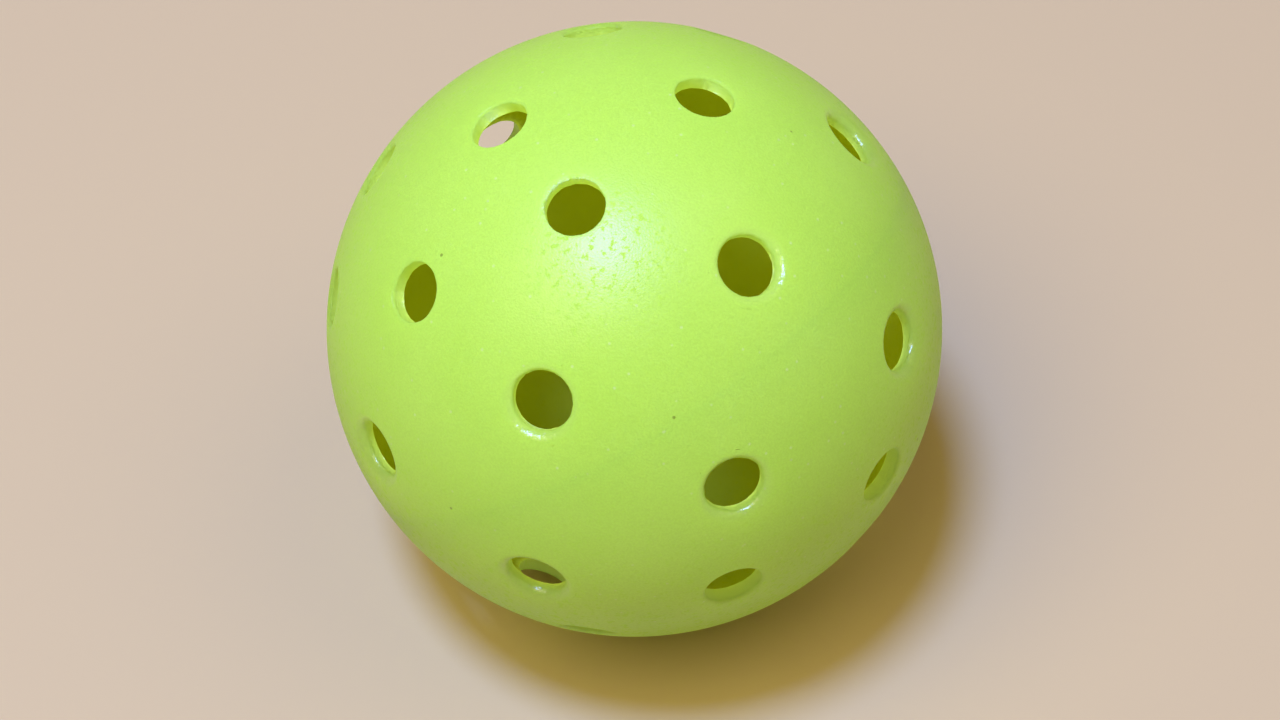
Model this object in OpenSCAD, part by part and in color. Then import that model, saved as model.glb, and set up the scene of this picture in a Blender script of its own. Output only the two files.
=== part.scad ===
// Pickleball: a hollow plastic ball of two moulded half shells, welded at the equator
// and pierced by staggered rings of round air holes.
// Millimetres. The origin is the ball's centre, and +Z is up as the ball lies on a floor.

/* [Shell] */
// Outside diameter of the ball
ball_d = 74; // [66:0.5:82]
// Wall thickness of both half shells
wall = 1.9; // [1.5:0.1:2.6]

/* [Air holes] */
// Diameter of the straight part of each hole
hole_d = 6.9; // [5:0.1:9]
// Radius of the rounded edge round each hole's outer mouth
mouth_r = 0.6; // [0.3:0.05:0.9]
// Angle that the rounded edge turns through, from the hole's wall towards the outside
mouth_sweep = 75; // [60:1:85]
// Holes in the ring round each pole
crown_count = 4; // [3:1:5]
// Holes in each of the other rings
ring_count = 8; // [6:1:9]

/* [Upper half, angles in degrees] */
// From the upper pole to the crown ring
upper_crown_angle = 24; // [21:0.5:27]
// Turn of the crown ring about the poles
upper_crown_turn = 0.5; // [-45:0.5:45]
// From the upper pole to the shoulder ring
upper_shoulder_angle = 49; // [45:0.5:52]
// Turn of the shoulder ring about the poles
upper_shoulder_turn = 5; // [-45:0.5:45]
// From the upper pole to the belt ring
upper_belt_angle = 75.5; // [70:0.5:77]
// Turn of the belt ring about the poles
upper_belt_turn = 25; // [-45:0.5:45]

/* [Lower half, angles in degrees] */
// From the lower pole to the crown ring
lower_crown_angle = 25; // [21:0.5:27]
// Turn of the crown ring about the poles
lower_crown_turn = 38; // [-45:0.5:45]
// From the lower pole to the shoulder ring
lower_shoulder_angle = 50; // [45:0.5:52]
// Turn of the shoulder ring about the poles
lower_shoulder_turn = -12; // [-45:0.5:45]
// From the lower pole to the belt ring
lower_belt_angle = 73; // [70:0.5:77]
// Turn of the belt ring about the poles
lower_belt_turn = 1; // [-45:0.5:45]

/* [Weld joint] */
// Height of the tongue that stands down from the upper half's rim
tongue_h = 1.6; // [1:0.1:2.2]
// Thickness of the tongue, on the inner side of the wall
tongue_t = 0.8; // [0.5:0.05:1]
// Side clearance between the tongue and the lower half's rabbet
tongue_gap = 0.05; // [0.02:0.01:0.1]
// Height of the melt between the tongue's end and the rabbet's floor
melt_h = 0.3; // [0.2:0.05:0.5]
// Radius of the bead that the melt forms on the inside
bead_r = 0.5; // [0.3:0.05:0.8]

/* [How the ball lies, angles in degrees] */
// Lean of the upper pole from the vertical
lie_tilt = 43.5; // [0:0.5:180]
// Compass direction of that lean, counted from +X towards +Y
lie_heading = 139; // [0:1:360]
// Turn of the ball about its own poles
lie_spin = 150; // [0:1:360]

/* [Hidden] */

$fn = 180;
outer_r = ball_d / 2;
inner_r = outer_r - wall;
hole_r = hole_d / 2;

// The tongue's two faces, and the wall of the rabbet round it
tongue_inner_r = inner_r;
tongue_outer_r = tongue_inner_r + tongue_t;
rabbet_r = tongue_outer_r + tongue_gap;
rabbet_floor = -tongue_h - melt_h;

// Where the rounded mouth meets the outside, and the height of its arc's centre
mouth_edge_r = hole_r + mouth_r * (1 - cos(mouth_sweep));
mouth_centre_z = sqrt(pow(outer_r, 2) - pow(mouth_edge_r, 2)) - mouth_r * sin(mouth_sweep);

shell_colour = "#BEF05A";
bead_colour = "#CDF27E";

// The ball turned from poles up to the way it lies
module as_it_lies()
    rotate([0, lie_tilt, lie_heading])
        rotate([0, 0, lie_spin])
            children();

// Right half of the wall's section, on both sides of the equator
module wall_section()
    intersection() {
        difference() {
            circle(outer_r);
            circle(inner_r);
        }
        translate([0, -outer_r]) square([outer_r, ball_d]);
    }

// Upper section: the wall above the equator, and the tongue below it
module upper_section() {
    intersection() {
        wall_section();
        square(outer_r);
    }
    translate([tongue_inner_r, -tongue_h]) square([tongue_t, tongue_h]);
}

// Lower section: the wall below the equator, less the rabbet inside its rim
module lower_section()
    difference() {
        intersection() {
            wall_section();
            translate([0, -outer_r]) square(outer_r);
        }
        translate([0, rabbet_floor]) square([rabbet_r, -rabbet_floor]);
    }

// Bead section: melt between tongue and rabbet, and the round nose inside the ball
module bead_section() {
    translate([inner_r - bead_r / 2, rabbet_floor]) square([rabbet_r - inner_r + bead_r / 2, melt_h]);
    intersection() {
        translate([inner_r, rabbet_floor + melt_h / 2]) circle(bead_r);
        circle(inner_r);
    }
}

// One hole's cutter, along +Z from the hollow to the outside: a straight bore that opens
// into a rounded mouth
module hole_cutter()
    rotate_extrude() {
        translate([0, inner_r / 2]) square([hole_r, outer_r]);
        difference() {
            translate([0, mouth_centre_z]) square([hole_r + mouth_r, outer_r]);
            translate([hole_r + mouth_r, mouth_centre_z]) circle(mouth_r);
        }
    }

// Cutters evenly spaced round the poles, at one angle from the upper pole
module hole_ring(count, polar_angle, turn)
    for (i = [0 : count - 1])
        rotate([0, polar_angle, turn + i * 360 / count])
            hole_cutter();

module upper_half_shell()
    color(shell_colour)
        as_it_lies()
            difference() {
                rotate_extrude() upper_section();
                hole_ring(crown_count, upper_crown_angle, upper_crown_turn);
                hole_ring(ring_count, upper_shoulder_angle, upper_shoulder_turn);
                hole_ring(ring_count, upper_belt_angle, upper_belt_turn);
            }

module lower_half_shell()
    color(shell_colour)
        as_it_lies()
            difference() {
                rotate_extrude() lower_section();
                hole_ring(crown_count, 180 - lower_crown_angle, lower_crown_turn);
                hole_ring(ring_count, 180 - lower_shoulder_angle, lower_shoulder_turn);
                hole_ring(ring_count, 180 - lower_belt_angle, lower_belt_turn);
            }

module weld_bead()
    color(bead_colour)
        as_it_lies()
            rotate_extrude() bead_section();

upper_half_shell();
lower_half_shell();
weld_bead();
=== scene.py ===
import math

import bpy
from mathutils import Matrix


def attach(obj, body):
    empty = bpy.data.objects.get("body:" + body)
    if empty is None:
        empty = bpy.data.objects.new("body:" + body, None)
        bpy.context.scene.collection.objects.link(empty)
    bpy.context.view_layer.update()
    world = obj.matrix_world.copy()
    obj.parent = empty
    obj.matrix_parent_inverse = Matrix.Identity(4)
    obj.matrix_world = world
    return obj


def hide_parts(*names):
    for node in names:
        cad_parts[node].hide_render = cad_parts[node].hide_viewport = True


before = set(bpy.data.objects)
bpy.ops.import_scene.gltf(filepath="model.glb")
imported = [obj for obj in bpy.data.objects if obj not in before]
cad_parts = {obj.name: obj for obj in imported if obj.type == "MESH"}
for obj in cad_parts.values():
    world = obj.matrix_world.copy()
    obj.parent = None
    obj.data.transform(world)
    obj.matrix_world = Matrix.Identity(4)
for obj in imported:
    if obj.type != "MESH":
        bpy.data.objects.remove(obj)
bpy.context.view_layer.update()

# Half shells
# Two hollow half balls of satin polyethylene, moulded with round air holes in staggered
# rings and welded at the equator. One node tree makes both: a sphere of even quads, opened at
# each hole, with the opening's edge rolled in through the wall and the rim folded to its joint.
BALL_R = 0.037
WALL = 0.0019
INNER_R = BALL_R - WALL

# The ball turned from poles up to the way it lies
LIE_HEADING = math.radians(139)
LIE_TILT = math.radians(43.5)
LIE_SPIN = math.radians(150)
LIE = (Matrix.Rotation(LIE_HEADING, 4, "Z") @ Matrix.Rotation(LIE_TILT, 4, "Y")
       @ Matrix.Rotation(LIE_SPIN, 4, "Z"))

# Air holes: their mouths are wide on the belt rings and tight on the others, three quarters as
# deep as a round arc, and their edges wander a little, in waves of about 0.7 mm
RINGS = ("Crown", "Shoulder", "Belt")
HOLE_R = 0.0034
TIGHT_MOUTH_R = 0.0006
WIDE_MOUTH_R = 0.0014
MOUTH_DEPTH = 0.75
INNER_EDGE_R = 0.00015
EDGE_WANDER = 0.00025
WANDER_WAVES_PER_M = 1400.0

# Weld joint: a tongue under the upper rim, a rabbet in the lower one, and a hairline at the seam
RIM_CORNERS = range(1, 6)
TONGUE_H = 0.0016
TONGUE_OUTER_R = 0.0359
RABBET_R = 0.03595
RABBET_FLOOR = 0.0019
SEAM_INSET = 0.00001

# Mesh: points along each side of the grid, steps in each roll, how much wider than a mouth the grid
# is opened, how far past that its ragged edge can lie, and when points merge and edges shade sharp
SEGMENTS = 97
MOUTH_STEPS = 12
INNER_EDGE_STEPS = 4
OPENING_MARGIN = 0.0005
RAGGED_BAND = 0.0016
MERGE_REACH = 0.000002
SHARP_BEND = math.radians(40)


def add_node(tree, kind, inputs=None, **settings):
    node = tree.nodes.new(kind)
    for name, value in settings.items():
        setattr(node, name, value)
    for key, value in (inputs or {}).items():
        if isinstance(value, bpy.types.Node):
            value = value.outputs[0]
        if isinstance(value, bpy.types.NodeSocket):
            tree.links.new(value, node.inputs[key])
        else:
            node.inputs[key].default_value = value
    return node


def rgb(code):
    parts = [int(code[i:i + 2], 16) / 255 for i in (1, 3, 5)]
    return [c / 12.92 if c <= 0.04045 else ((c + 0.055) / 1.055) ** 2.4 for c in parts] + [1.0]


shell = bpy.data.node_groups.new("perforated half shell", "GeometryNodeTree")
shell_inputs = {
    "NodeSocketFloat": [
        "Ball radius", "Inner radius", "Hole radius", "Mouth depth", "Inner edge radius", "Edge wander",
        *[f"{ring} {label}" for ring in RINGS for label in ("angle", "turn", "mouth")]],
    "NodeSocketInt": ["Segments", *[f"{ring} holes" for ring in RINGS]],
    "NodeSocketVector": [f"Rim corner {corner}" for corner in RIM_CORNERS],
    "NodeSocketMaterial": ["Plastic"],
}
for kind, labels in shell_inputs.items():
    for label in labels:
        shell.interface.new_socket(label, in_out="INPUT", socket_type=kind)
shell.interface.new_socket("Geometry", in_out="OUTPUT", socket_type="NodeSocketGeometry")
size = shell.nodes.new("NodeGroupInput").outputs

# One point for each hole, on the outside of the ball, which knows how wide its mouth is
hole_points = add_node(shell, "GeometryNodeJoinGeometry")
for ring in RINGS:
    across = add_node(shell, "ShaderNodeMath", {0: size[ring + " angle"]}, operation="SINE")
    across = add_node(shell, "ShaderNodeMath", {0: across, 1: size["Ball radius"]}, operation="MULTIPLY")
    up = add_node(shell, "ShaderNodeMath", {0: size[ring + " angle"]}, operation="COSINE")
    up = add_node(shell, "ShaderNodeMath", {0: up, 1: size["Ball radius"]}, operation="MULTIPLY")
    circle = add_node(shell, "GeometryNodeMeshCircle",
                      {"Vertices": size[ring + " holes"], "Radius": across}, fill_type="NONE")
    place = add_node(shell, "ShaderNodeCombineXYZ", {"Z": up})
    turn = add_node(shell, "ShaderNodeCombineXYZ", {"Z": size[ring + " turn"]})
    circle = add_node(shell, "GeometryNodeTransform",
                      {"Geometry": circle, "Translation": place, "Rotation": turn})
    circle = add_node(shell, "GeometryNodeStoreNamedAttribute",
                      {"Geometry": circle, "Name": "mouth", "Value": size[ring + " mouth"]},
                      data_type="FLOAT", domain="POINT")
    shell.links.new(circle.outputs[0], hole_points.inputs[0])

# A sphere of even quads: a cube's grid, warped by the tangent so that its cells come out alike
cube = add_node(shell, "GeometryNodeMeshCube", {
    "Size": (2, 2, 2), "Vertices X": size["Segments"], "Vertices Y": size["Segments"],
    "Vertices Z": size["Segments"]})
here = add_node(shell, "GeometryNodeInputPosition")
warp = add_node(shell, "ShaderNodeVectorMath", {0: here, "Scale": math.pi / 4}, operation="SCALE")
warp = add_node(shell, "ShaderNodeVectorMath", {0: warp}, operation="TANGENT")
warp = add_node(shell, "ShaderNodeVectorMath", {0: warp}, operation="NORMALIZE")
warp = add_node(shell, "ShaderNodeVectorMath", {0: warp, "Scale": size["Ball radius"]}, operation="SCALE")
sheet = add_node(shell, "GeometryNodeSetPosition", {"Geometry": cube, "Position": warp})
height = add_node(shell, "ShaderNodeSeparateXYZ", {0: here}).outputs["Z"]
below = add_node(shell, "FunctionNodeCompare", {0: height, 1: 0.0}, operation="LESS_THAN")
sheet = add_node(shell, "GeometryNodeDeleteGeometry", {0: sheet, 1: below}, domain="FACE")

# Each point keeps the mouth and the axis of the hole nearest to it, and where it was
nearest = add_node(shell, "GeometryNodeSampleNearest", {"Geometry": hole_points}, domain="POINT")
mouth = add_node(shell, "GeometryNodeInputNamedAttribute", {"Name": "mouth"}, data_type="FLOAT")
nearest_mouth = add_node(shell, "GeometryNodeSampleIndex",
                         {"Geometry": hole_points, "Value": mouth, "Index": nearest},
                         data_type="FLOAT", domain="POINT")
nearest_axis = add_node(shell, "GeometryNodeSampleIndex",
                        {"Geometry": hole_points, "Value": here, "Index": nearest},
                        data_type="FLOAT_VECTOR", domain="POINT")
nearest_axis = add_node(shell, "ShaderNodeVectorMath", {0: nearest_axis}, operation="NORMALIZE")
for label, value, data_type in [
        ("mouth", nearest_mouth, "FLOAT"), ("hole_axis", nearest_axis, "FLOAT_VECTOR"),
        ("home", here, "FLOAT_VECTOR")]:
    sheet = add_node(shell, "GeometryNodeStoreNamedAttribute",
                     {"Geometry": sheet, "Name": label, "Value": value}, data_type=data_type, domain="POINT")
axis = add_node(shell, "GeometryNodeInputNamedAttribute", {"Name": "hole_axis"}, data_type="FLOAT_VECTOR")
home = add_node(shell, "GeometryNodeInputNamedAttribute", {"Name": "home"}, data_type="FLOAT_VECTOR")

# The sheet opened a little wider than each mouth
hole_top = add_node(shell, "ShaderNodeVectorMath", {0: nearest_axis, "Scale": size["Ball radius"]},
                    operation="SCALE")
reach = add_node(shell, "ShaderNodeVectorMath", {0: here, 1: hole_top}, operation="DISTANCE")
reach = reach.outputs["Value"]
opened = add_node(shell, "ShaderNodeMath", {0: size["Hole radius"], 1: nearest_mouth}, operation="ADD")
opened = add_node(shell, "ShaderNodeMath", {0: opened, 1: OPENING_MARGIN}, operation="ADD")
in_hole = add_node(shell, "FunctionNodeCompare", {0: reach, 1: opened}, operation="LESS_THAN")
sheet = add_node(shell, "GeometryNodeDeleteGeometry", {0: sheet, 1: in_hole}, domain="FACE")

# The inner sheet: the same faces, drawn in to the inner radius and turned over, with what would
# lie past the joint's last corner gathered on it
shrink = add_node(shell, "ShaderNodeMath", {0: size["Inner radius"], 1: size["Ball radius"]},
                  operation="DIVIDE")
drawn_in = add_node(shell, "ShaderNodeVectorMath", {0: home, "Scale": shrink}, operation="SCALE")
last_corner = add_node(shell, "ShaderNodeSeparateXYZ", {0: size[f"Rim corner {RIM_CORNERS[-1]}"]}).outputs
gathered = add_node(shell, "ShaderNodeVectorMath", {0: drawn_in, 1: (1, 1, 0)}, operation="MULTIPLY")
gathered = add_node(shell, "ShaderNodeVectorMath", {0: gathered}, operation="NORMALIZE")
gathered = add_node(shell, "ShaderNodeVectorMath", {0: gathered, "Scale": last_corner["X"]},
                    operation="SCALE")
up = add_node(shell, "ShaderNodeCombineXYZ", {"Z": last_corner["Z"]})
gathered = add_node(shell, "ShaderNodeVectorMath", {0: gathered, 1: up}, operation="ADD")
height = add_node(shell, "ShaderNodeSeparateXYZ", {0: drawn_in}).outputs["Z"]
past = add_node(shell, "FunctionNodeCompare", {0: height, 1: last_corner["Z"]}, operation="LESS_THAN")
inner_place = add_node(shell, "GeometryNodeSwitch",
                       {"Switch": past, "False": drawn_in, "True": gathered}, input_type="VECTOR")
inner = add_node(shell, "GeometryNodeSetPosition", {"Geometry": sheet, "Position": inner_place})
inner = add_node(shell, "GeometryNodeFlipFaces", {0: inner})
inner = add_node(shell, "GeometryNodeStoreNamedAttribute",
                 {"Geometry": inner, "Name": "inside", "Value": 1.0}, data_type="FLOAT", domain="POINT")

# Open edges, and which of them belong to a hole
open_edge = add_node(shell, "GeometryNodeInputMeshEdgeNeighbors")
open_edge = add_node(shell, "FunctionNodeCompare", {2: open_edge, 3: 1}, data_type="INT", operation="EQUAL")
near_hole = add_node(shell, "ShaderNodeMath", {0: opened, 1: RAGGED_BAND}, operation="ADD")
near_hole = add_node(shell, "FunctionNodeCompare", {0: reach, 1: near_hole}, operation="LESS_THAN")
hole_edge = add_node(shell, "FunctionNodeBooleanMath", {0: open_edge, 1: near_hole}, operation="AND")
rim_edge = add_node(shell, "FunctionNodeBooleanMath", {0: open_edge, 1: near_hole}, operation="NIMPLY")

# The rim folded through its joint's corners, each given as a radius (X) and a height (Z). Only the
# first is on the outside.
away = add_node(shell, "ShaderNodeVectorMath", {0: here, 1: (1, 1, 0)}, operation="MULTIPLY")
away = add_node(shell, "ShaderNodeVectorMath", {0: away}, operation="NORMALIZE")
chosen = rim_edge.outputs[0]
for corner in RIM_CORNERS:
    part = add_node(shell, "ShaderNodeSeparateXYZ", {0: size[f"Rim corner {corner}"]}).outputs
    out = add_node(shell, "ShaderNodeVectorMath", {0: away, "Scale": part["X"]}, operation="SCALE")
    up = add_node(shell, "ShaderNodeCombineXYZ", {"Z": part["Z"]})
    spot = add_node(shell, "ShaderNodeVectorMath", {0: out, 1: up}, operation="ADD")
    fold = add_node(shell, "GeometryNodeExtrudeMesh",
                    {"Mesh": sheet, "Selection": chosen, "Offset Scale": 0.0}, mode="EDGES").outputs
    chosen = fold["Top"]
    sheet = add_node(shell, "GeometryNodeSetPosition",
                     {"Geometry": fold["Mesh"], "Selection": chosen, "Position": spot})
    if corner > RIM_CORNERS[0]:
        sheet = add_node(shell, "GeometryNodeStoreNamedAttribute",
                         {"Geometry": sheet, "Selection": chosen, "Name": "inside", "Value": 1.0},
                         data_type="FLOAT", domain="POINT")

# The hole's edge rolled in along two arcs: the mouth, from the outside to the hole's wall, and the
# small inner edge, from there to the inside. Marks tell the material how far each step has come:
# "edge" rises from 0 to 1 over the mouth, and "inside" from its first value to 1 over the inner edge.
INNER_EDGE_MARK = 0.35
along = add_node(shell, "ShaderNodeVectorMath", {0: here, 1: axis}, operation="DOT_PRODUCT").outputs["Value"]
spoke = add_node(shell, "ShaderNodeVectorMath", {0: axis, "Scale": along}, operation="SCALE")
spoke = add_node(shell, "ShaderNodeVectorMath", {0: here, 1: spoke}, operation="SUBTRACT")
spoke = add_node(shell, "ShaderNodeVectorMath", {0: spoke}, operation="NORMALIZE")
wander = add_node(shell, "ShaderNodeTexNoise", {
    "Vector": here, "Scale": WANDER_WAVES_PER_M, "Detail": 2.0})
wander = add_node(shell, "ShaderNodeMath", {0: wander, 1: 0.5}, operation="SUBTRACT")
wander = add_node(shell, "ShaderNodeMath", {0: wander, 1: size["Edge wander"]}, operation="MULTIPLY")
chosen = hole_edge.outputs[0]
geometry = sheet.outputs[0]
for mark, arc_r, sphere_r, side, steps in [
        ("edge", mouth, size["Ball radius"], -1.0, MOUTH_STEPS),
        ("inside", size["Inner edge radius"], size["Inner radius"], 1.0, INNER_EDGE_STEPS)]:
    is_mouth = mark == "edge"

    # The arc's centre, out from the hole's axis and up along it, and the angle that the arc turns
    centre_out = add_node(shell, "ShaderNodeMath", {0: size["Hole radius"], 1: arc_r}, operation="ADD")
    centre_r = add_node(shell, "ShaderNodeMath", {0: arc_r, 1: side, 2: sphere_r}, operation="MULTIPLY_ADD")
    lean = add_node(shell, "ShaderNodeMath", {0: centre_out, 1: centre_r}, operation="DIVIDE")
    lean = add_node(shell, "ShaderNodeMath", {0: lean}, operation="ARCSINE")
    centre_up = add_node(shell, "ShaderNodeMath", {0: lean}, operation="COSINE")
    centre_up = add_node(shell, "ShaderNodeMath", {0: centre_up, 1: centre_r}, operation="MULTIPLY")
    sweep = add_node(shell, "ShaderNodeMath", {0: lean, 1: -side, 2: math.pi / 2}, operation="MULTIPLY_ADD")

    enter = add_node(shell, "GeometryNodeRepeatInput")
    leave = add_node(shell, "GeometryNodeRepeatOutput")
    enter.pair_with_output(leave)
    leave.repeat_items.clear()
    leave.repeat_items.new("GEOMETRY", "Geometry")
    leave.repeat_items.new("BOOLEAN", "Edge")
    enter.inputs["Iterations"].default_value = steps
    shell.links.new(geometry, enter.inputs["Geometry"])
    shell.links.new(chosen, enter.inputs["Edge"])

    # One step: the share of the arc that is done, its angle, and the place that it gives. The mouth
    # ends and the inner edge starts at half a turn, level with the hole's wall.
    done = add_node(shell, "ShaderNodeMath", {0: enter.outputs["Iteration"], 1: steps - 1.0},
                    operation="DIVIDE")
    angle = add_node(shell, "ShaderNodeMath", {0: done, 1: -1.0 if is_mouth else 0.0}, operation="ADD")
    angle = add_node(shell, "ShaderNodeMath", {0: angle, 1: sweep, 2: math.pi}, operation="MULTIPLY_ADD")
    out = add_node(shell, "ShaderNodeMath", {0: angle}, operation="COSINE")
    out = add_node(shell, "ShaderNodeMath", {0: out, 1: arc_r, 2: centre_out}, operation="MULTIPLY_ADD")
    drift = add_node(shell, "ShaderNodeMath", {0: wander, 1: done if is_mouth else 1.0},
                     operation="MULTIPLY")
    out = add_node(shell, "ShaderNodeMath", {0: out, 1: drift}, operation="ADD")
    up = add_node(shell, "ShaderNodeMath", {0: angle}, operation="SINE")
    up = add_node(shell, "ShaderNodeMath", {0: up, 1: arc_r, 2: centre_up}, operation="MULTIPLY_ADD")
    marking = done
    if is_mouth:
        level = add_node(shell, "ShaderNodeMath", {0: out, 1: sphere_r}, operation="DIVIDE")
        level = add_node(shell, "ShaderNodeMath", {0: level}, operation="ARCSINE")
        level = add_node(shell, "ShaderNodeMath", {0: level}, operation="COSINE")
        level = add_node(shell, "ShaderNodeMath", {0: level, 1: sphere_r}, operation="MULTIPLY")
        up = add_node(shell, "ShaderNodeMix", {0: size["Mouth depth"], 2: level, 3: up}, data_type="FLOAT")
    else:
        marking = add_node(shell, "ShaderNodeMath", {0: done, 1: 1 - INNER_EDGE_MARK, 2: INNER_EDGE_MARK},
                           operation="MULTIPLY_ADD")
    out = add_node(shell, "ShaderNodeVectorMath", {0: spoke, "Scale": out}, operation="SCALE")
    up = add_node(shell, "ShaderNodeVectorMath", {0: axis, "Scale": up}, operation="SCALE")
    spot = add_node(shell, "ShaderNodeVectorMath", {0: out, 1: up}, operation="ADD")
    roll = add_node(shell, "GeometryNodeExtrudeMesh",
                    {"Mesh": enter.outputs["Geometry"], "Selection": enter.outputs["Edge"],
                     "Offset Scale": 0.0}, mode="EDGES").outputs
    moved = add_node(shell, "GeometryNodeSetPosition",
                     {"Geometry": roll["Mesh"], "Selection": roll["Top"], "Position": spot})
    marked = add_node(shell, "GeometryNodeStoreNamedAttribute",
                      {"Geometry": moved, "Selection": roll["Top"], "Name": mark, "Value": marking},
                      data_type="FLOAT", domain="POINT")
    shell.links.new(marked.outputs[0], leave.inputs["Geometry"])
    shell.links.new(roll["Top"], leave.inputs["Edge"])
    geometry = leave.outputs["Geometry"]
    chosen = leave.outputs["Edge"]

# The last edge laid on the inner sheet's, and the two sheets closed to one skin
back = add_node(shell, "GeometryNodeExtrudeMesh",
                {"Mesh": geometry, "Selection": chosen, "Offset Scale": 0.0}, mode="EDGES").outputs
outer = add_node(shell, "GeometryNodeSetPosition",
                 {"Geometry": back["Mesh"], "Selection": back["Top"], "Position": inner_place})
skin = add_node(shell, "GeometryNodeJoinGeometry", {0: outer})
shell.links.new(inner.outputs[0], skin.inputs[0])
skin = add_node(shell, "GeometryNodeMergeByDistance", {"Geometry": skin, "Distance": MERGE_REACH})
skin = add_node(shell, "GeometryNodeSetShadeSmooth", {"Geometry": skin, "Shade Smooth": True}, domain="FACE")
bend = add_node(shell, "GeometryNodeInputMeshEdgeAngle")
bend = add_node(shell, "FunctionNodeCompare", {0: bend, 1: SHARP_BEND}, operation="GREATER_THAN")
skin = add_node(shell, "GeometryNodeSetShadeSmooth",
                {"Geometry": skin, "Selection": bend, "Shade Smooth": False}, domain="EDGE")
skin = add_node(shell, "GeometryNodeRealizeInstances", {0: skin})
skin = add_node(shell, "GeometryNodeSetMaterial", {"Geometry": skin, "Material": size["Plastic"]})
shell.links.new(skin.outputs[0], shell.nodes.new("NodeGroupOutput").inputs[0])

# Satin polyethylene, dyed through in neon yellow-green: light enters the thin wall, wanders in
# it and comes out again at the walls of the holes, helped by painted light there, and the hollow
# is painted a dim olive as its shade; play left pale specks, a little dirt and dulled patches.
CLOUD_SIZE = 0.0111
SPECK_SPACING = 0.00192
DIRT_SPACING = 0.0077
DULL_PATCH_SIZE = 0.000667
RIPPLE_SIZE = 0.00077
# The moulded grain, under 0.1 mm on such a ball, is too fine to show, so it is drawn coarser
GRAIN_SIZE = 0.00025

plastic = bpy.data.materials.new("satin polyethylene")
plastic.use_nodes = True
paint = plastic.node_tree
paint.nodes.clear()
place = add_node(paint, "ShaderNodeTexCoord").outputs["Object"]
edge = add_node(paint, "ShaderNodeAttribute", attribute_name="edge").outputs["Fac"]
inside = add_node(paint, "ShaderNodeAttribute", attribute_name="inside").outputs["Fac"]

# Colour: slow clouds in the dye, then shade in the grain, pale specks and dirt, sized as shares of
# their spacing, painted light as a paler lip on each hole's wall, and painted shade inside
cloud = add_node(paint, "ShaderNodeTexNoise", {"Vector": place, "Scale": 1 / CLOUD_SIZE, "Detail": 3.0})
grain = add_node(paint, "ShaderNodeTexNoise", {"Vector": place, "Scale": 1 / GRAIN_SIZE, "Detail": 2.0})
fleck = add_node(paint, "ShaderNodeMapRange", {
    "Value": grain, "From Min": 0.35, "From Max": 0.65, "To Min": 0.26, "To Max": 0.0})
speck = add_node(paint, "ShaderNodeTexVoronoi", {"Vector": place, "Scale": 1 / SPECK_SPACING})
speck = add_node(paint, "ShaderNodeMapRange", {
    "Value": speck, "From Min": 0.06, "From Max": 0.11, "To Min": 0.32, "To Max": 0.0})
dirt = add_node(paint, "ShaderNodeTexVoronoi", {"Vector": place, "Scale": 1 / DIRT_SPACING})
dirt = add_node(paint, "ShaderNodeMapRange", {
    "Value": dirt, "From Min": 0.018, "From Max": 0.03, "To Min": 0.8, "To Max": 0.0})
# painted light: the hole walls are mixed paler so that they look as bright as the outside
painted_lip_light = add_node(paint, "ShaderNodeMapRange", {
    "Value": edge, "From Min": 0.4, "From Max": 1.0, "To Min": 0.0, "To Max": 0.2})
colour = add_node(paint, "ShaderNodeMix", {0: cloud, 6: rgb("#C0F55A"), 7: rgb("#CDFC6E")}, data_type="RGBA")
# painted shade: the inside is mixed to a dim yellower olive that stands for the hollow's shade
for cover, tint in [(fleck, "#A2CE42"), (speck, "#F0F9D2"), (dirt, "#5A6426"), (painted_lip_light, "#E2FF9C"),
                    (inside, "#D2D634")]:
    colour = add_node(paint, "ShaderNodeMix", {0: cover, 6: colour.outputs[2], 7: rgb(tint)},
                      data_type="RGBA")

# Surface: satin, with dull patches worn by play, and glossy where a mouth rolls wide
dull = add_node(paint, "ShaderNodeTexNoise", {
    "Vector": place, "Scale": 1 / DULL_PATCH_SIZE, "Detail": 3.0, "Roughness": 0.6})
dull = add_node(paint, "ShaderNodeMapRange", {
    "Value": dull, "From Min": 0.56, "From Max": 0.63, "To Min": 0.36, "To Max": 0.92})
gloss = add_node(paint, "ShaderNodeAttribute", attribute_name="mouth").outputs["Fac"]
gloss = add_node(paint, "ShaderNodeMapRange", {
    "Value": gloss, "From Min": TIGHT_MOUTH_R, "From Max": WIDE_MOUTH_R, "To Min": 0.12, "To Max": 1.0})
gloss = add_node(paint, "ShaderNodeMapRange", {
    "Value": edge, "From Min": 0.15, "From Max": 0.45, "To Min": 0.0, "To Max": gloss})
ripple = add_node(paint, "ShaderNodeTexNoise", {"Vector": place, "Scale": 1 / RIPPLE_SIZE, "Detail": 2.0})
ripple = add_node(paint, "ShaderNodeBump", {"Strength": 0.5, "Distance": 0.0003, "Height": ripple})

# Light wanders a millimetre or so in the wall before it comes out, which blurs the shading of the
# mouths: the body's normal is turned most of the way to the ball's own, and only the gloss, laid
# on as a coat round the mouths, follows their true shape
facing = add_node(paint, "ShaderNodeNewGeometry").outputs["Normal"]
radial = add_node(paint, "ShaderNodeVectorTransform", {0: place},
                  vector_type="NORMAL", convert_from="OBJECT", convert_to="WORLD")
blur = add_node(paint, "ShaderNodeMapRange", {
    "Value": inside, "From Min": 0.0, "From Max": 1.0, "To Min": 0.85, "To Max": 0.0})
blurred = add_node(paint, "ShaderNodeMix", {0: blur, 4: facing, 5: radial}, data_type="VECTOR")
blurred = add_node(paint, "ShaderNodeVectorMath", {0: blurred.outputs[1]}, operation="NORMALIZE")
bump = add_node(paint, "ShaderNodeBump", {
    "Strength": 0.35, "Distance": 0.00008, "Height": grain, "Normal": blurred})
body = add_node(paint, "ShaderNodeBsdfPrincipled", {
    "Base Color": colour.outputs[2], "Roughness": dull, "IOR": 1.59, "Normal": bump,
    "Coat Weight": gloss, "Coat Roughness": 0.28, "Coat IOR": 1.75, "Coat Normal": ripple})
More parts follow.
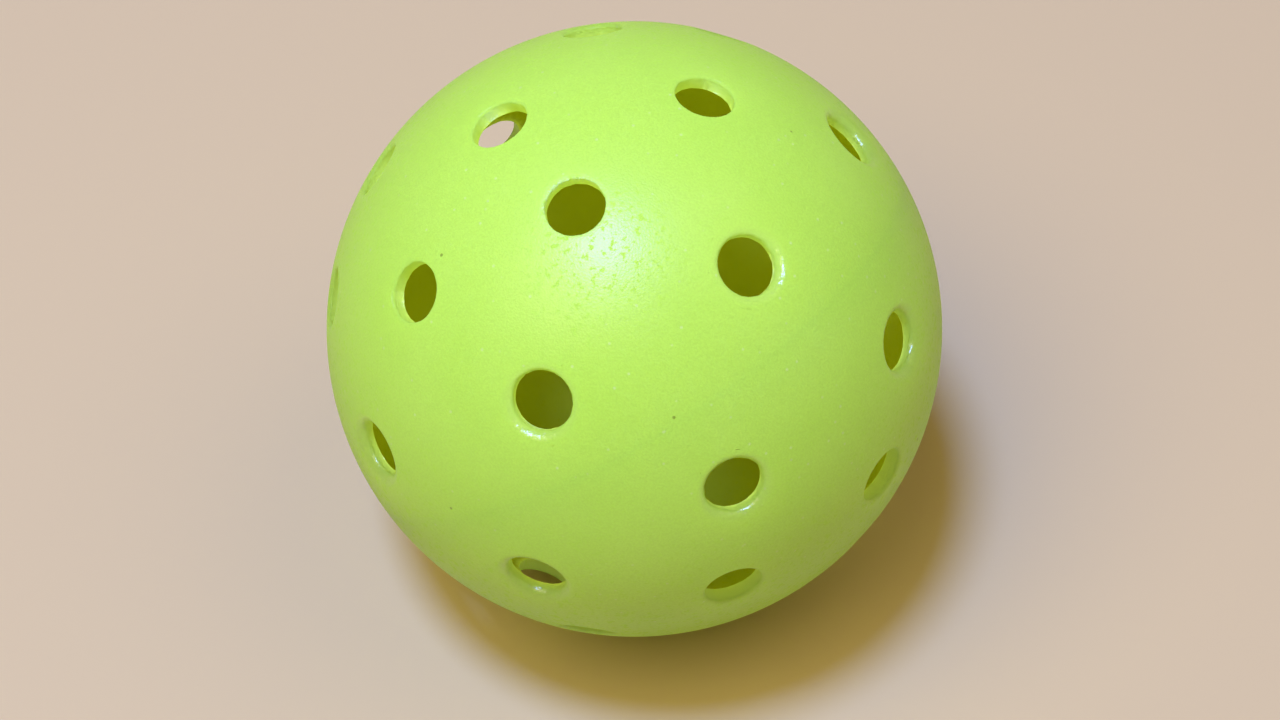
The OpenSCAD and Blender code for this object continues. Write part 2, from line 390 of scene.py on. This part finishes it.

# Light through the wall, most of it at the walls of the holes, which also get a weak painted glow
hole_wall = add_node(paint, "ShaderNodeMath", {0: edge, 1: 3.0}, operation="POWER")
painted_wall_glow = add_node(paint, "ShaderNodeMath", {0: hole_wall, 1: 0.15}, operation="MULTIPLY")
painted_wall_glow = add_node(paint, "ShaderNodeEmission", {"Color": rgb("#CCEC60"), "Strength": painted_wall_glow})
lit = add_node(paint, "ShaderNodeMix", {0: inside, 6: rgb("#EEFF80"), 7: rgb("#FFFA22")}, data_type="RGBA")
lit = add_node(paint, "ShaderNodeBsdfTranslucent", {"Color": lit.outputs[2]})
through = add_node(paint, "ShaderNodeMath", {0: hole_wall, 1: 0.2, 2: 0.35}, operation="MULTIPLY_ADD")
through = add_node(paint, "ShaderNodeMix", {0: inside, 2: through, 3: 0.45}, data_type="FLOAT")
skin = add_node(paint, "ShaderNodeMixShader", {0: through, 1: body, 2: lit})
skin = add_node(paint, "ShaderNodeAddShader", {0: skin, 1: painted_wall_glow})
add_node(paint, "ShaderNodeOutputMaterial", {"Surface": skin})

# Each ring is a number of holes, its angle from the pole and its turn, in degrees. The lower half
# is made pole up like the upper one and flipped over, which reverses its turns.
halves = {
    "upper_half_shell": {
        "flip": 0,
        "rings": {"Crown": (4, 24, 0.5), "Shoulder": (8, 49, 5), "Belt": (8, 75.5, 25)},
        "rim": [(BALL_R - SEAM_INSET, 0), (TONGUE_OUTER_R, 0), (TONGUE_OUTER_R, -TONGUE_H),
                (INNER_R, -TONGUE_H), (INNER_R, 0)]},
    "lower_half_shell": {
        "flip": math.pi,
        "rings": {"Crown": (4, 25, -38), "Shoulder": (8, 50, 12), "Belt": (8, 73, -1)},
        "rim": [(BALL_R - SEAM_INSET, 0), (RABBET_R, 0), (RABBET_R, RABBET_FLOOR / 2),
                (RABBET_R, RABBET_FLOOR), (math.sqrt(INNER_R ** 2 - RABBET_FLOOR ** 2), RABBET_FLOOR)]},
}
for name, half in halves.items():
    thing = bpy.data.objects.new(name + "_finish", bpy.data.meshes.new(name + "_finish"))
    bpy.context.scene.collection.objects.link(thing)
    maker = thing.modifiers.new("half shell", "NODES")
    maker.node_group = shell
    given = {
        "Ball radius": BALL_R, "Inner radius": INNER_R, "Hole radius": HOLE_R, "Mouth depth": MOUTH_DEPTH,
        "Crown mouth": TIGHT_MOUTH_R, "Shoulder mouth": TIGHT_MOUTH_R, "Belt mouth": WIDE_MOUTH_R,
        "Inner edge radius": INNER_EDGE_R, "Edge wander": EDGE_WANDER, "Segments": SEGMENTS,
        "Plastic": plastic}
    for ring, (count, angle, turn) in half["rings"].items():
        given[ring + " holes"] = count
        given[ring + " angle"] = math.radians(angle)
        given[ring + " turn"] = math.radians(turn)
    for corner, (radius, up) in zip(RIM_CORNERS, half["rim"]):
        given[f"Rim corner {corner}"] = (radius, 0.0, up)
    for item in shell.interface.items_tree:
        if item.in_out == "INPUT":
            maker[item.identifier] = given[item.name]
    ready = thing.evaluated_get(bpy.context.evaluated_depsgraph_get())
    made = bpy.data.meshes.new_from_object(ready)
    thing.modifiers.remove(maker)
    thing.data = made
    made.transform(LIE @ Matrix.Rotation(half["flip"], 4, "X"))
    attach(thing, "root")
    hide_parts(name)

# Weld bead
# The ring of polyethylene that both rims gave off while they were pressed together hot. It fills
# the joint's melt space and stands a little into the hollow, as it set, because nobody trims it.
BEAD_WAVE_SIZE = 0.00333

# Remelted polyethylene: it set in the open, so it is glossier than the moulded shells, with soft
# waves, and is painted the dim yellower olive of the ball's inside, as shade of the hollow
remelt = bpy.data.materials.new("remelted polyethylene")
remelt.use_nodes = True
paint = remelt.node_tree
paint.nodes.clear()
place = add_node(paint, "ShaderNodeTexCoord").outputs["Object"]
waves = add_node(paint, "ShaderNodeTexNoise", {"Vector": place, "Scale": 1 / BEAD_WAVE_SIZE, "Detail": 3.0})
colour = add_node(paint, "ShaderNodeMix", {0: waves, 6: rgb("#C6CE38"), 7: rgb("#D8E050")}, data_type="RGBA")
bump = add_node(paint, "ShaderNodeBump", {"Strength": 0.4, "Distance": 0.0002, "Height": waves})
body = add_node(paint, "ShaderNodeBsdfPrincipled", {
    "Base Color": colour.outputs[2], "Roughness": 0.25, "IOR": 1.5, "Normal": bump})
add_node(paint, "ShaderNodeOutputMaterial", {"Surface": body})
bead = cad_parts["weld_bead"]
bead.data.materials.clear()
bead.data.materials.append(remelt)

# Floor, light and camera
# A plain pale floor under the ball, one cool soft light nearly overhead, a wide warm light
# on either side of it, and a camera that looks down on the ball at 53 degrees.
FLOOR_REACH = 3
WARM = (1.0, 0.87, 0.42)
COOL = (0.54, 0.9, 2.3)
CAMERA_PLACE = (0.00067, -0.19956, 0.25867)
CAMERA_TILT = math.radians(37)
SENSOR_MM = 36
LENS_MM = 75.94

floor_corners = [(-1, -1), (1, -1), (1, 1), (-1, 1)]
floor_mesh = bpy.data.meshes.new("floor")
floor_mesh.from_pydata([(x * FLOOR_REACH, y * FLOOR_REACH, -BALL_R) for x, y in floor_corners],
                       [], [(0, 1, 2, 3)])
floor = bpy.data.objects.new("floor", floor_mesh)
bpy.context.scene.collection.objects.link(floor)
ground = bpy.data.materials.new("pale floor")
ground.use_nodes = True
ground_body = ground.node_tree.nodes["Principled BSDF"]
ground_body.inputs["Base Color"].default_value = rgb("#C4AE88")
ground_body.inputs["Roughness"].default_value = 0.7
floor_mesh.materials.append(ground)

lamps = {
    "key": {"size": 0.32, "power": 15.5, "colour": COOL, "place": (-0.27, -0.19, 1.55)},
    "left_fill": {"size": 1.0, "power": 11.5, "colour": WARM, "place": (-0.45, -0.35, 1.15)},
    "right_fill": {"size": 1.0, "power": 3.5, "colour": WARM, "place": (0.65, 0.0, 1.1)},
}
for name, lamp in lamps.items():
    light = bpy.data.objects.new(name, bpy.data.lights.new(name, "AREA"))
    light.data.shape = "DISK"
    light.data.size = lamp["size"]
    light.data.energy = lamp["power"]
    light.data.color = lamp["colour"]
    light.location = lamp["place"]
    light.rotation_euler = (-light.location).to_track_quat("-Z", "Y").to_euler()
    bpy.context.scene.collection.objects.link(light)

# The room gives a weak warm light, and shows as a pale backdrop
room = bpy.data.worlds.new("room")
room.use_nodes = True
air = room.node_tree
air.nodes.clear()
ray = add_node(air, "ShaderNodeLightPath").outputs
seen = add_node(air, "ShaderNodeMath", {0: ray["Is Camera Ray"], 1: ray["Is Glossy Ray"]},
                operation="MAXIMUM")
seen = add_node(air, "ShaderNodeMath", {0: seen, 1: ray["Is Transmission Ray"]}, operation="MAXIMUM")
lighting = add_node(air, "ShaderNodeBackground", {"Color": rgb("#F5C278"), "Strength": 0.18})
backdrop = add_node(air, "ShaderNodeBackground", {"Color": rgb("#D8D0C4"), "Strength": 0.85})
surroundings = add_node(air, "ShaderNodeMixShader", {0: seen, 1: lighting, 2: backdrop})
add_node(air, "ShaderNodeOutputWorld", {"Surface": surroundings})
bpy.context.scene.world = room

eye = bpy.data.objects.new("camera", bpy.data.cameras.new("camera"))
eye.data.sensor_width = SENSOR_MM
eye.data.lens = LENS_MM
eye.location = CAMERA_PLACE
eye.rotation_euler = (CAMERA_TILT, 0, 0)
bpy.context.scene.collection.objects.link(eye)
bpy.context.scene.camera = eye
bpy.context.scene.view_settings.view_transform = "Standard"
